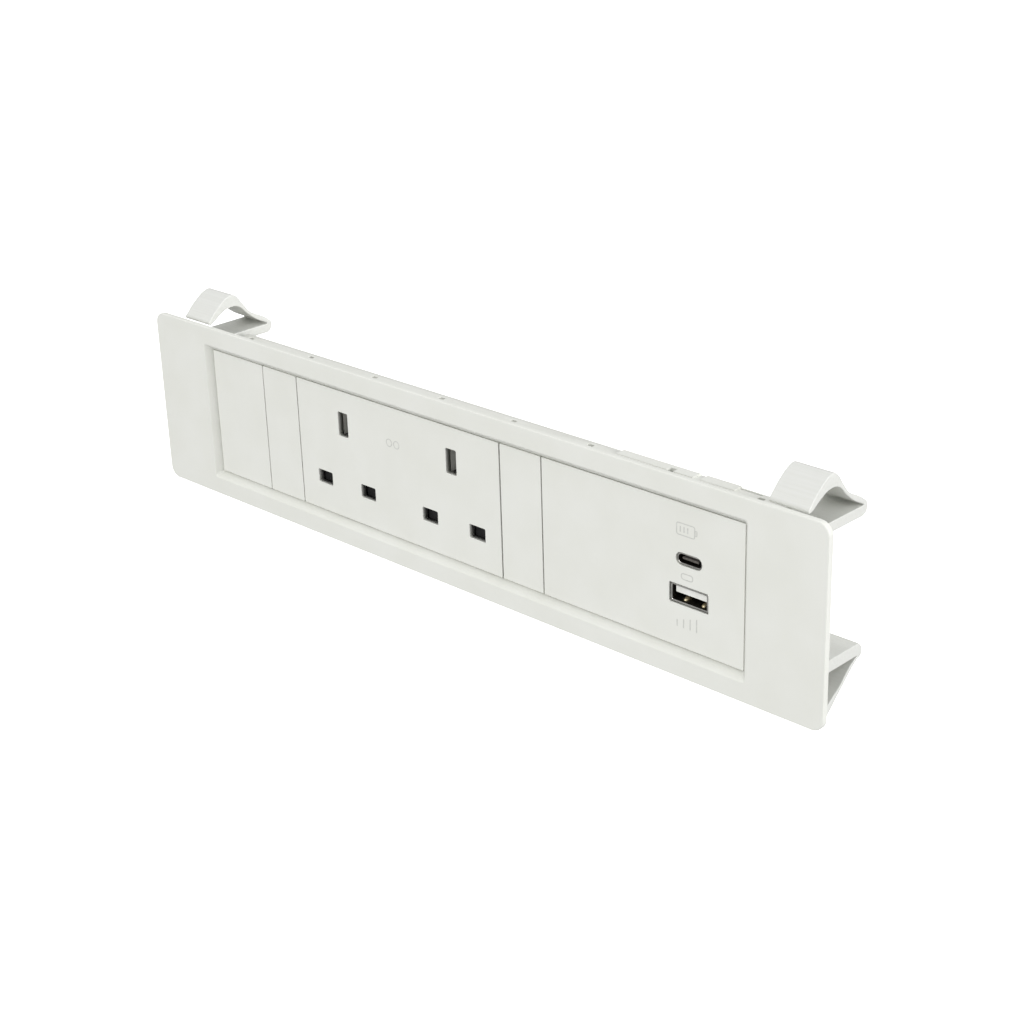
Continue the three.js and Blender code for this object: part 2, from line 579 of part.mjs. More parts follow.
for (const [side, sign] of [['left', -1], ['right', 1]]) {
  const [x0, x1] = ordered(sign * clip.inner, sign * (clip.inner + clip.width));
  add(`clip_frame_${side}`, makeClipFrame(x0, x1), plastic(clipWhite));
  add(`hump_arm_${side}`, makeArm(humpOuter, humpInner, topFold, x0, x1), plastic(clipWhite));
  add(`catch_arm_${side}`, makeArm(catchOuter, catchInner, lowFold, x0, x1), plastic(clipWhite));
  ['lower', 'upper'].forEach((level, i) => {
    const z = i === 0 ? -clipScrewZ : clipScrewZ;
    add(`clip_screw_${side}_${level}`, screw(sign * clipScrewX, z, -0.4, clip.webBack + 0.1), metal(steel));
  });
}

export default unit;
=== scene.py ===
import json
import math

import bmesh
import bpy
from mathutils import Matrix, Vector

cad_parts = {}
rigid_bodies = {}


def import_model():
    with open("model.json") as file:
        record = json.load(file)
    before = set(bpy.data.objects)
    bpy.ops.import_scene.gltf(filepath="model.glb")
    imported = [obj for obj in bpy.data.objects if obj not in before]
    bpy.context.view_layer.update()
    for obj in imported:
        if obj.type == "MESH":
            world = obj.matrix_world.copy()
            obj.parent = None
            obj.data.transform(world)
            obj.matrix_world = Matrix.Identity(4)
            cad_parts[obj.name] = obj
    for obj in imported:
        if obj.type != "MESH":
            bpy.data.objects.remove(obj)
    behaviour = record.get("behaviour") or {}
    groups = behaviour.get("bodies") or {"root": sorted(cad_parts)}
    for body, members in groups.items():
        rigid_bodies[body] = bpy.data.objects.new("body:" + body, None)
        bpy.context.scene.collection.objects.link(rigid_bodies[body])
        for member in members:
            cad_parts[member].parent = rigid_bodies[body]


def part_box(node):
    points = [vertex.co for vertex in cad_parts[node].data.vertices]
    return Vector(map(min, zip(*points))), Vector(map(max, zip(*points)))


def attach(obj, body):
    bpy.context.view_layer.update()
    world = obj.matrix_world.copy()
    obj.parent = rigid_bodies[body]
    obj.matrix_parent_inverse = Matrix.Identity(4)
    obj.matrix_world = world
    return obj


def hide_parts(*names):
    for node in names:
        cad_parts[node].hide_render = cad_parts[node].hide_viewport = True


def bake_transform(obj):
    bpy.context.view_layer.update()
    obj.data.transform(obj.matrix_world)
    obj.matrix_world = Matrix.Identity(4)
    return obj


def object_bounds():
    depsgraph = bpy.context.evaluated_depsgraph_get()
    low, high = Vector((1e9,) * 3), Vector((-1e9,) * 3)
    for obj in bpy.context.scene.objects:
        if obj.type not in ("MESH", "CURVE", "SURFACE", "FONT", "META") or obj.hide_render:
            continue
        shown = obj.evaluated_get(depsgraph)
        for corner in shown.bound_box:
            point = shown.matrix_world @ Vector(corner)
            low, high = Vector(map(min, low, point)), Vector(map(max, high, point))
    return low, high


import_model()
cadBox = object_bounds()
mm = 0.001

# Camera, light and floor
shot = {
    "place": (0.43891, -0.41317, 0.25217),
    "turn": (66.6878, 1.6994, 44.0825),
    "lens": 70.029,
    "clipStart": 0.01,
    "floorDrop": 0.46,
    "domeRadius": 15.0,
    "domeCuts": 5,
    # brightness of the pale room by height of direction, from straight down (0) to straight up (1)
    "room": ((0.0, 0.47), (0.4, 0.47), (0.47, 0.1), (0.56, 0.12), (0.68, 0.72), (0.82, 0.8), (1.0, 0.72)),
    "roomStrength": 1.15,
    "floorColour": 0.97,
    "floorRoughness": 0.9,
    "floorGlow": 1.0,
}
lamps = {
    "rimSoftbox": {"place": (1.85, 0.7, 0.35), "size": 1.2, "power": 22.5},
    "frontSoftbox": {"place": (0.2, -2.0, 0.45), "size": 1.2, "power": 18.0},
}


def linearColour(code):
    parts = [int(code[i:i + 2], 16) / 255 for i in (1, 3, 5)]
    return [p / 12.92 if p <= 0.04045 else ((p + 0.055) / 1.055) ** 2.4 for p in parts] + [1.0]


def addNode(tree, kind, settings=None, links=None):
    node = tree.nodes.new(kind)
    for key, value in (settings or {}).items():
        if isinstance(key, str) and hasattr(node, key):
            setattr(node, key, value)
        else:
            node.inputs[key].default_value = value
    for key, source in (links or {}).items():
        tree.links.new(source, node.inputs[key])
    return node


def setCameraAndLamps():
    camera = bpy.data.objects.new("productCamera", bpy.data.cameras.new("productCamera"))
    camera.location = shot["place"]
    camera.rotation_euler = [math.radians(a) for a in shot["turn"]]
    camera.data.lens = shot["lens"]
    camera.data.clip_start = shot["clipStart"]
    bpy.context.collection.objects.link(camera)
    bpy.context.scene.camera = camera
    for name, lamp in lamps.items():
        data = bpy.data.lights.new(name, "AREA")
        data.shape = "DISK"
        data.size = lamp["size"]
        data.energy = lamp["power"]
        light = bpy.data.objects.new(name, data)
        light.location = lamp["place"]
        light.rotation_euler = (-Vector(lamp["place"])).to_track_quat("-Z", "Y").to_euler()
        bpy.context.collection.objects.link(light)


def setRoom():
    world = bpy.data.worlds.new("paleRoom")
    world.use_nodes = True
    tree = world.node_tree
    aim = addNode(tree, "ShaderNodeTexCoord")
    parts = addNode(tree, "ShaderNodeSeparateXYZ", links={"Vector": aim.outputs["Generated"]})
    height = addNode(tree, "ShaderNodeMapRange", {"From Min": -1.0, "From Max": 1.0},
                     {"Value": parts.outputs["Z"]})
    room = addNode(tree, "ShaderNodeValToRGB", links={"Fac": height.outputs["Result"]})
    stops = room.color_ramp.elements
    while len(stops) < len(shot["room"]):
        stops.new(0.5)  # moved to its own place below
    for stop, (place, level) in zip(stops, shot["room"]):
        stop.position = place
        stop.color = (level, level, level, 1)
    tree.links.new(room.outputs["Color"], tree.nodes["Background"].inputs["Color"])
    tree.nodes["Background"].inputs["Strength"].default_value = shot["roomStrength"]
    bpy.context.scene.world = world
    bpy.context.scene.view_settings.view_transform = "Standard"


def setFloor():
    floorZ = cadBox[0][2] - shot["floorDrop"]
    bm = bmesh.new()
    bmesh.ops.create_icosphere(bm, subdivisions=shot["domeCuts"], radius=shot["domeRadius"])
    for v in bm.verts:
        v.co.z = max(v.co.z, floorZ)  # flat below, so the floor runs into the pale walls
    mesh = bpy.data.meshes.new("paleFloor")
    bm.to_mesh(mesh)
    bm.free()
    floor = bpy.data.objects.new("paleFloor", mesh)
    bpy.context.collection.objects.link(floor)
    paint = bpy.data.materials.new("mattWhiteFloor")
    paint.use_nodes = True
    shader = paint.node_tree.nodes["Principled BSDF"]
    shader.inputs["Base Color"].default_value = [shot["floorColour"]] * 3 + [1]
    shader.inputs["Roughness"].default_value = shot["floorRoughness"]
    shader.inputs["Emission Color"].default_value = (1, 1, 1, 1)
    shader.inputs["Emission Strength"].default_value = shot["floorGlow"]
    mesh.materials.append(paint)
    # Only the camera sees the floor: the room's lower half stands for its bounce
    floor.visible_diffuse = floor.visible_glossy = floor.visible_shadow = False


setCameraAndLamps()
setRoom()
setFloor()
print("stage, camera and lights set")


# Materials. grain is the size in millimetres of the surface's fine texture, cloud that of its slow colour
# change, and stretch how much longer both are along X, as on an extrusion or a drawn strip.
finishes = {
    # Injection-moulded ABS with a fine spark-eroded texture: an even warm white with soft broad highlights
    "mouldedWhiteAbs": {"light": "#ecede7", "dark": "#e9eae3", "roughness": (0.38, 0.5),
                        "grain": 0.5, "bump": 0.05, "cloud": 18, "ior": 1.54},
    # Extruded PVC: faint die lines along its length and a slightly glossier skin
    "extrudedPvc": {"light": "#e2e3df", "dark": "#dedfda", "roughness": (0.34, 0.46),
                    "grain": 0.6, "bump": 0.8, "cloud": 0.8, "stretch": 60, "ior": 1.53},
    # Urea moulding: a harder, slightly greyer white
    "mouldedUrea": {"light": "#dcdcd6", "dark": "#d2d2cb", "roughness": (0.3, 0.42),
                    "grain": 0.6, "bump": 0.04, "cloud": 9, "ior": 1.6},
    # Glass-filled black nylon: matt, with a dusty grain
    "filledBlackNylon": {"light": "#1b1b1c", "dark": "#0f0f10", "roughness": (0.5, 0.68),
                         "grain": 0.25, "bump": 0.12, "cloud": 4, "ior": 1.53},
    # Liquid crystal polymer: a milky white tongue with a waxy sheen
    "milkyPolymer": {"light": "#f6f6f2", "dark": "#ecece6", "roughness": (0.3, 0.4),
                     "grain": 0.3, "bump": 0.03, "cloud": 3, "ior": 1.58},
    # The same polymer in grey, as the smaller port's tongue has it
    "greyPolymer": {"light": "#6f6a64", "dark": "#57534e", "roughness": (0.35, 0.45),
                    "grain": 0.3, "bump": 0.05, "cloud": 1, "ior": 1.58},
    # Stamped brass strip, lightly tarnished between its rolling lines
    "stampedBrass": {"light": "#d6b26a", "dark": "#a8823f", "roughness": (0.22, 0.42),
                     "grain": 0.3, "bump": 0.08, "cloud": 3, "stretch": 12, "metallic": 1.0},
    # Gold flash over nickel: warm and almost mirror-like
    "goldFlash": {"light": "#e2bd6e", "dark": "#b98d43", "roughness": (0.16, 0.3),
                  "grain": 0.2, "bump": 0.03, "cloud": 1, "metallic": 1.0},
    # Tinned phosphor bronze: pale, warm and satin
    "phosphorBronze": {"light": "#e3d6b6", "dark": "#c9ba94", "roughness": (0.35, 0.5),
                       "grain": 0.2, "bump": 0.04, "cloud": 1, "metallic": 1.0},
    # Nickel-plated steel shell with faint drawing marks
    "platedShell": {"light": "#c9c8c4", "dark": "#a5a4a0", "roughness": (0.2, 0.36),
                    "grain": 0.25, "bump": 0.05, "cloud": 2, "stretch": 8, "metallic": 1.0},
    # The shell's inside: painted shade, a near-black colour in place of the shade deep in the tube
    "shellInsidePaintedShade": {"light": "#4a4742", "dark": "#33312e", "roughness": (0.45, 0.6),
                      "grain": 0.25, "bump": 0.05, "cloud": 2, "metallic": 1.0},
    # Zinc-plated screw steel: bluish, a little cloudy
    "zincPlate": {"light": "#c3c8cc", "dark": "#b2b8bd", "roughness": (0.28, 0.4),
                  "grain": 0.35, "bump": 0.04, "cloud": 2.5, "metallic": 1.0},
    # Spring wire: darker drawn steel
    "drawnSpringSteel": {"light": "#8f9296", "dark": "#6c6f74", "roughness": (0.25, 0.38),
                         "grain": 0.15, "bump": 0.05, "cloud": 0.8, "metallic": 1.0},
    # Glass-epoxy laminate under green solder mask, with the weave just showing
    "solderMask": {"light": "#2b7a52", "dark": "#1c5c3b", "roughness": (0.25, 0.4),
                   "grain": 0.7, "bump": 0.06, "cloud": 4, "ior": 1.52},
    # Polyester tape over the winding, amber and slightly wrinkled
    "windingTape": {"light": "#b98a2e", "dark": "#8a6420", "roughness": (0.28, 0.45),
                    "grain": 1.2, "bump": 0.1, "cloud": 5, "ior": 1.57},
    # Shrunk vinyl sleeve of a capacitor
    "capacitorSleeve": {"light": "#2a313b", "dark": "#1c2129", "roughness": (0.3, 0.45),
                        "grain": 0.5, "bump": 0.05, "cloud": 3, "ior": 1.53},
    # Enamelled copper wire, turn beside turn
    "enamelledCopper": {"light": "#b5652c", "dark": "#7b3d18", "roughness": (0.22, 0.35),
                        "grain": 0.5, "bump": 0.2, "cloud": 0.9, "metallic": 0.8},
    # Polyamide terminal housing
    "terminalPolyamide": {"light": "#4a8f5a", "dark": "#387347", "roughness": (0.4, 0.52),
                          "grain": 0.4, "bump": 0.06, "cloud": 3, "ior": 1.53},
    # Soft PVC insulation in the three mains colours
    "brownPvc": {"light": "#7a4a2a", "dark": "#603619", "roughness": (0.35, 0.48),
                 "grain": 0.4, "bump": 0.05, "cloud": 2, "ior": 1.53},
    "bluePvc": {"light": "#2c5fb4", "dark": "#1f4a94", "roughness": (0.35, 0.48),
                "grain": 0.4, "bump": 0.05, "cloud": 2, "ior": 1.53},
    "greenPvc": {"light": "#679a35", "dark": "#507f24", "roughness": (0.35, 0.48),
                 "grain": 0.4, "bump": 0.05, "cloud": 2, "ior": 1.53},
    # Pad-printed grey ink, thin enough for the white to show through
    "greyInk": {"light": "#d4d5d0", "dark": "#c9cac5", "roughness": (0.4, 0.5),
                "grain": 0.3, "bump": 0.03, "cloud": 1, "ior": 1.5},
}


# How every finish reads its two noises
patternShape = {"cloudDetail": 3.0, "cloudSpan": (0.35, 0.65), "grainDetail": 2.0, "grainSpan": (0.3, 0.7),
                "reliefDepth": 0.1}


def makeFinish(name):
    s, p = finishes[name], patternShape
    material = bpy.data.materials.new(name)
    material.use_nodes = True
    tree = material.node_tree
    shader = tree.nodes["Principled BSDF"]
    shader.inputs["Metallic"].default_value = s.get("metallic", 0.0)
    if "ior" in s:
        shader.inputs["IOR"].default_value = s["ior"]
    spot = addNode(tree, "ShaderNodeTexCoord")
    stretched = addNode(tree, "ShaderNodeMapping", {"Scale": (1 / s.get("stretch", 1), 1, 1)},
                        {"Vector": spot.outputs["Object"]})
    cloud = addNode(tree, "ShaderNodeTexNoise", {"Scale": 1 / (s["cloud"] * mm), "Detail": p["cloudDetail"]},
                    {"Vector": stretched.outputs["Vector"]})
    grain = addNode(tree, "ShaderNodeTexNoise", {"Scale": 1 / (s["grain"] * mm), "Detail": p["grainDetail"]},
                    {"Vector": stretched.outputs["Vector"]})
    colour = addNode(tree, "ShaderNodeValToRGB", links={"Fac": cloud.outputs["Fac"]})
    for stop, place, shade in zip(colour.color_ramp.elements, p["cloudSpan"], ("dark", "light")):
        stop.position = place
        stop.color = linearColour(s[shade])
    rough = addNode(tree, "ShaderNodeMapRange",
                    {"From Min": p["grainSpan"][0], "From Max": p["grainSpan"][1],
                     "To Min": s["roughness"][0], "To Max": s["roughness"][1]},
                    {"Value": grain.outputs["Fac"]})
    relief = addNode(tree, "ShaderNodeBump", {"Strength": s["bump"], "Distance": p["reliefDepth"] * mm},
                     {"Height": grain.outputs["Fac"]})
    tree.links.new(colour.outputs["Color"], shader.inputs["Base Color"])
    tree.links.new(rough.outputs["Result"], shader.inputs["Roughness"])
    tree.links.new(relief.outputs["Normal"], shader.inputs["Normal"])
    return material


materials = {name: makeFinish(name) for name in finishes}
print("materials made:", len(materials))


# Shared by all pieces: an angle for creases, lengths in millimetres, and how edges and shading are finished
makingShape = {"crease": math.radians(42), "weld": 0.001, "copyWeld": 0.002, "bevelSteps": 2,
               "faceWeight": 80, "plateCorner": 0.3, "leastCorner": 0.05}


def finishPiece(bm, name, finish, body, nodes, rounding=0.0, mend=True, shaded=False):
    # rounding bevels the creases, mend welds a new mesh and turns it outwards, and shaded keeps flat faces
    # flat beside small edges
    s = makingShape
    if mend:
        bmesh.ops.remove_doubles(bm, verts=bm.verts, dist=s["weld"] * mm)
        bmesh.ops.recalc_face_normals(bm, faces=bm.faces)
    for item in list(bm.faces) + list(bm.edges):
        item.smooth = True
    mesh = bpy.data.meshes.new(name)
    bm.to_mesh(mesh)
    bm.free()
    mesh.materials.append(materials[finish])
    piece = bpy.data.objects.new(name, mesh)
    bpy.context.collection.objects.link(piece)
    if rounding:
        eased = piece.modifiers.new("easedEdges", "BEVEL")
        eased.width = rounding * mm
        eased.segments = s["bevelSteps"]
        eased.limit_method = "ANGLE"
        eased.angle_limit = s["crease"]
        eased.use_clamp_overlap = False
    if rounding or shaded:
        piece.modifiers.new("flatShading", "WEIGHTED_NORMAL").weight = s["faceWeight"]
    else:
        mesh.set_sharp_from_angle(angle=s["crease"])
    if body:
        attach(piece, body)
    if nodes:
        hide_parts(*nodes)
    return piece


def copyOfNode(name):
    bm = bmesh.new()
    bm.from_mesh(bpy.data.objects[name].data)
    bmesh.ops.remove_doubles(bm, verts=bm.verts, dist=makingShape["copyWeld"] * mm)
    return bm


def roundedLoop(bm, centre, halfX, halfZ, radius, y, steps=4):
    # One closed loop of edges: a rectangle in the XZ plane with rounded corners
    made = bmesh.ops.create_grid(bm, x_segments=1, y_segments=1, size=1.0)["verts"]
    bmesh.ops.scale(bm, verts=made, vec=(halfX * mm, halfZ * mm, 1))
    bmesh.ops.rotate(bm, verts=made, matrix=Matrix.Rotation(math.radians(90), 3, "X"))
    bmesh.ops.translate(bm, verts=made, vec=(centre[0] * mm, y * mm, centre[1] * mm))
    cut = bmesh.ops.bevel(bm, geom=made, affect="VERTICES", offset=radius * mm, segments=steps, profile=0.5,
                          material=-1)
    face = cut["verts"][0].link_faces[0]
    loop = list(face.edges)
    bmesh.ops.delete(bm, geom=[face], context="FACES_ONLY")
    return loop


def bridge(bm, loops):
    for first, second in zip(loops, loops[1:]):
        bmesh.ops.bridge_loops(bm, edges=first + second)


def easedRows(half, corner, front, back, edge, inward=False, steps=3):
    # Rows (half width, half height, corner, depth) from the front round an eased edge to the back.
    # The edge falls away outwards on a plate and inwards on a hole's rim.
    sign = -1 if inward else 1
    rows = []
    for i in range(steps + 1):
        a = math.radians(90 * i / steps)
        grow = -sign * edge * (1 - math.sin(a))
        rows.append((half[0] + grow, half[1] + grow, max(corner + grow, makingShape["leastCorner"]),
                     front + edge * (1 - math.cos(a))))
    rows.append((half[0], half[1], corner, back))
    return rows


def addBlock(bm, low, high):
    made = bmesh.ops.create_cube(bm, size=1.0)["verts"]
    bmesh.ops.scale(bm, verts=made, vec=[(b - a) * mm for a, b in zip(low, high)])
    bmesh.ops.translate(bm, verts=made, vec=[(a + b) / 2 * mm for a, b in zip(low, high)])


def makePlate(low, high, thickness, edge, holes):
    # A front plate with eased edges; each hole is a rounded rectangle with an eased rim and its own wall
    bm = bmesh.new()
    centre = ((low[0] + high[0]) / 2, (low[1] + high[1]) / 2)
    half = ((high[0] - low[0]) / 2, (high[1] - low[1]) / 2)
    rows = easedRows(half, makingShape["plateCorner"], 0, thickness, edge)
    stacks = [[roundedLoop(bm, centre, x, z, r, y) for x, z, r, y in rows]]
    for hole in holes:
        rows = easedRows(hole["half"], hole["corner"], 0, thickness, hole["rim"], True)
        stacks.append([roundedLoop(bm, hole["centre"], x, z, r, y) for x, z, r, y in rows])
    for stack in stacks:
        bridge(bm, stack)
    for end, way in ((0, -1), (-1, 1)):
        edges = [e for stack in stacks for e in stack[end]]
        bmesh.ops.triangle_fill(bm, use_beauty=True, use_dissolve=False, edges=edges, normal=(0, way, 0))
    return bm


# Fascia: one plate with a sloping window edge, and the lip that stands behind the window.
# Rows that share a face are a hair apart in depth, so that each bridge has a direction.
fasciaShape = {"half": (152, 32.6), "corner": 4, "front": -2.2, "edge": 0.4,
               "edgeTurns": (0, 22.5, 45, 67.5, 90), "backEdge": 0.3,
               "window": (121.89, 23.85), "windowCorner": 0.5, "windowDepth": 0.15,
               "slope": 2.2, "slopeCorner": 1.2, "soft": 0.35, "softTurns": (45, 30, 15, 0),
               "lipWall": 1.6, "lipCorner": 1.6, "lipDepth": 8, "hair": 0.02, "frontHair": 0.004,
               "cornerSteps": 5}


def makeFascia():
    s = fasciaShape
    hx, hz = s["half"]
    wx, wz = s["window"]
    front, edge, back, soft = s["front"], s["edge"], s["backEdge"], s["soft"]
    bm = bmesh.new()
    rows = []
    for turn in s["edgeTurns"]:
        a = math.radians(turn)
        grow = edge * (1 - math.sin(a))
        rows.append((hx - grow, hz - grow, s["corner"] - grow, front + edge * (1 - math.cos(a))))
    rows.append((hx, hz, s["corner"], -back))
    rows.append((hx - back, hz - back, s["corner"] - back, 0))
    lipX, lipZ = wx + s["lipWall"], wz + s["lipWall"]
    rows.append((lipX, lipZ, s["lipCorner"], s["hair"]))
    rows.append((lipX, lipZ, s["lipCorner"], s["lipDepth"]))
    rows.append((wx, wz, s["windowCorner"], s["lipDepth"] - s["hair"]))
    rows.append((wx, wz, s["windowCorner"], s["windowDepth"]))
    reach = s["slope"] + soft * math.tan(math.radians(s["softTurns"][0] / 2))
    for turn in s["softTurns"]:  # the slope meets the front in a soft edge
        a = math.radians(turn)
        out, lift = soft * math.sin(a), soft * (1 - math.cos(a)) + s["frontHair"]
        rows.append((wx + reach - out, wz + reach - out, s["slopeCorner"], front + lift))
    loops = [roundedLoop(bm, (0, 0), x, z, r, y, s["cornerSteps"]) for x, z, r, y in rows]
    bridge(bm, loops + [loops[0]])
    return bm


finishPiece(makeFascia(), "fasciaShell", "mouldedWhiteAbs", "unit", ["fascia"], shaded=True)
print("fascia made")

# Front modules: five plates side by side, with hairline joints between them, each with hooked legs behind
moduleShape = {
    "edges": (-121.64, -93.83, -75.5, 23.35, 41.57, 121.64),
    "names": ("blank_module_wide", "blank_module_left", "socket_faceplate", "blank_module_right",
              "usb_faceplate"),
    "low": -23.5, "high": 23.58, "joints": (0.36, 0.42, 0.55, 0.45), "endJoint": 0.05, "thickness": 2.2,
    "edge": 0.18, "rim": 0.22,
    "legs": {"blank_module_wide": (-107.7,), "blank_module_left": (-84.7,),
             "socket_faceplate": (-65, -25.4, 14), "blank_module_right": (32.5,), "usb_faceplate": (55, 108)},
    "legHalf": 5, "legWall": (22.2, 23.3), "legSunk": 0.1, "legBack": 7.2, "hookWall": (23.0, 24.2),
    "hookDepths": (5.1, 6.5),
    "sockets": (-51.83, 1.07), "pinSide": 11.11, "lineZ": -10.83, "earthZ": 11.39,
    "lineHalf": (3.6, 2.4), "earthHalf": (2.4, 4.4), "pinCorner": 0.4,
    "ports": ({"centre": (100.9, -6.22), "half": (7.5, 3.28), "corner": 0.5, "rim": 0.15},
              {"centre": (100.95, 5.65), "half": (5.0, 2.1), "corner": 2.05, "rim": 0.15}),
}
portACentre, portCCentre = [port["centre"] for port in moduleShape["ports"]]


def moduleHoles(name):
    s = moduleShape
    if name == "usb_faceplate":
        return s["ports"]
    if name != "socket_faceplate":
        return []
    places = []
    for x in s["sockets"]:
        places += [((x + side * s["pinSide"], s["lineZ"]), s["lineHalf"]) for side in (-1, 1)]
        places.append(((x, s["earthZ"]), s["earthHalf"]))
    return [{"centre": centre, "half": half, "corner": s["pinCorner"], "rim": s["rim"]}
            for centre, half in places]


def addLegs(bm, x):
    s = moduleShape
    for side in (-1, 1):
        inner, outer = sorted(side * z for z in s["legWall"])
        addBlock(bm, (x - s["legHalf"], s["thickness"] - s["legSunk"], inner),
                 (x + s["legHalf"], s["legBack"], outer))
        inner, outer = sorted(side * z for z in s["hookWall"])
        near, far = s["hookDepths"]
        addBlock(bm, (x - s["legHalf"], near, inner), (x + s["legHalf"], far, outer))


for i, nodeName in enumerate(moduleShape["names"]):
    s = moduleShape
    last = i == len(s["names"]) - 1
    left = s["edges"][i] + (s["joints"][i - 1] / 2 if i else -s["endJoint"])
    right = s["edges"][i + 1] - (-s["endJoint"] if last else s["joints"][i] / 2)
    bm = makePlate((left, s["low"]), (right, s["high"]), s["thickness"], s["edge"], moduleHoles(nodeName))
    for x in s["legs"][nodeName]:
        addLegs(bm, x)
    finishPiece(bm, nodeName + "_plate", "mouldedWhiteAbs", "unit", [nodeName], shaded=True)
print("front modules made")

# Ports: plated shells with a turned-out mouth, their tongues, contacts and the springs in the shell's floor
portShape = {
    # half widths and heights of a shell: its mouth outside and inside, then its tube outside and inside
    "shells": {
        "usb_a_shell": {"centre": portACentre, "mouth": (7.3, 2.98), "mouthInside": (6.6, 2.46),
                        "tube": (6.65, 2.9), "tubeInside": (6.3, 2.5), "corner": 0.35},
        "usb_c_shell": {"centre": portCCentre, "mouth": (4.85, 1.95), "mouthInside": (4.35, 1.42),
                        "tube": (4.7, 1.75), "tubeInside": (4.3, 1.38), "corner": 1.25},
    },
    "front": 0.5, "shellBack": 13.6, "hair": 0.01, "mouthEdge": 0.08, "mouthEdgeDepth": 0.1, "mouthEnd": 0.9,
    "tubeStart": 1.5, "tubeInsideStart": 1.6, "turnDepth": 0.35, "mouthCorner": 0.25, "tubeCorner": 0.2,
    "insideFrom": 0.05, "insideMargin": 0.1,
    "tongueA": ((95.15, 1.2, -6.26), (107.15, 13.2, -4.2)), "tongueAEdge": 0.15,
    "tongueC": ((97.2, 1.7, 4.85), (103.4, 13.2, 5.6)), "tongueCEdge": 0.06,
    "teeth": 12, "toothMargin": 0.3, "toothHalf": 0.13, "toothDepths": (0.25, 4.5), "toothProud": 0.08,
    "contactXs": (-3.5, -1, 1, 3.5), "contactHalf": 0.5, "contactDepths": (4.2, 11),
    "contactHeights": (-6.6, -6.3), "contactEdge": 0.06,
    "springXs": (-2.9, 4.0), "springHalf": (1.05, 1.9, 1.0), "springDepth": 3.6, "springFloor": -8.75,
    "springSegments": (20, 12),
}


def makeShell(shell):
    s, centre, corner = portShape, shell["centre"], shell["corner"]
    mouth, tube = shell["mouth"], shell["tube"]
    bm = bmesh.new()
    front, back, trim = s["front"], s["shellBack"], s["mouthEdge"]
    rows = [
        (*shell["mouthInside"], corner, front + s["hair"]),
        (mouth[0] - trim, mouth[1] - trim, corner + s["tubeCorner"], front),
        (*mouth, corner + s["mouthCorner"], front + s["mouthEdgeDepth"]),
        (*mouth, corner + s["mouthCorner"], s["mouthEnd"]),
        (*tube, corner + s["tubeCorner"], s["tubeStart"]),
        (*tube, corner + s["tubeCorner"], back),
        (*shell["tubeInside"], corner, back - s["hair"]),
        (*shell["tubeInside"], corner, s["tubeInsideStart"]),
        (*shell["mouthInside"], corner, front + s["turnDepth"]),
    ]
    loops = [roundedLoop(bm, centre, x, z, r, y) for x, z, r, y in rows]
    bridge(bm, loops + [loops[0]])
    # faces inside the tube get the painted shade of the second material
    for face in bm.faces:  # the inside takes the second material
        spot = face.calc_center_median() / mm
        across, up = abs(spot.x - centre[0]), abs(spot.z - centre[1])
        if spot.y > front + s["insideFrom"] and across < tube[0] and up < tube[1] - s["insideMargin"]:
            face.material_index = 1
    return bm


for nodeName, shell in portShape["shells"].items():
    piece = finishPiece(makeShell(shell), nodeName + "_flared", "platedShell", "unit", [nodeName],
                        shaded=True)
    # the second material paints shade on the shell's inside
    piece.data.materials.append(materials["shellInsidePaintedShade"])
s = portShape
bm = bmesh.new()
addBlock(bm, *s["tongueA"])
finishPiece(bm, "usb_a_tongue_eased", "milkyPolymer", "unit", ["usb_a_tongue"], s["tongueAEdge"])
bm = bmesh.new()
addBlock(bm, *s["tongueC"])
low, high = s["tongueC"]
pitch = (high[0] - low[0] - 2 * s["toothMargin"]) / s["teeth"]
for i in range(s["teeth"]):  # contact teeth standing just proud of the tongue's two faces
    x = low[0] + s["toothMargin"] + (i + 0.5) * pitch
    near, far = [low[1] + depth for depth in s["toothDepths"]]
    addBlock(bm, (x - s["toothHalf"], near, low[2] - s["toothProud"]),
             (x + s["toothHalf"], far, high[2] + s["toothProud"]))
finishPiece(bm, "usb_c_tongue_eased", "greyPolymer", "unit", ["usb_c_tongue"],
            s["tongueCEdge"])
bm = bmesh.new()
for offset in s["contactXs"]:
    x = portACentre[0] + offset
    addBlock(bm, *[(x + side * s["contactHalf"], y, z)
                   for side, y, z in zip((-1, 1), s["contactDepths"], s["contactHeights"])])
contacts = ["usb_a_contact_%d" % (i + 1) for i in range(len(s["contactXs"]))]
finishPiece(bm, "usb_a_contact_strips", "goldFlash", "unit", contacts, s["contactEdge"])
bm = bmesh.new()
for offset in s["springXs"]:
    across, down = s["springSegments"]
    dome = bmesh.ops.create_uvsphere(bm, u_segments=across, v_segments=down, radius=1.0)["verts"]
    bmesh.ops.scale(bm, verts=dome, vec=[half * mm for half in s["springHalf"]])
    bmesh.ops.translate(bm, verts=dome, vec=((portACentre[0] + offset) * mm, s["springDepth"] * mm,
                                             s["springFloor"] * mm))
finishPiece(bm, "usb_a_floor_springs", "phosphorBronze", "unit", [])
print("ports made")

# Back cover: the same kind of plate, turned to face the other way
coverShape = {"half": (122, 14.4), "outside": 36.3, "thickness": 2, "edge": 0.4, "rim": 0.25,
              "inlet": {"centre": (96, 0), "half": (15.3, 8.8), "corner": 0.4},
              "vents": {"first": 62, "pitch": 5, "count": 9, "half": (0.9, 9), "corner": 0.6},
              "screwPlaces": ((-118.5, -8), (-118.5, 8), (118.5, -8), (118.5, 8)), "screwHole": 1.75,
              "screwFlat": 0.05, "screwRim": 0.15}


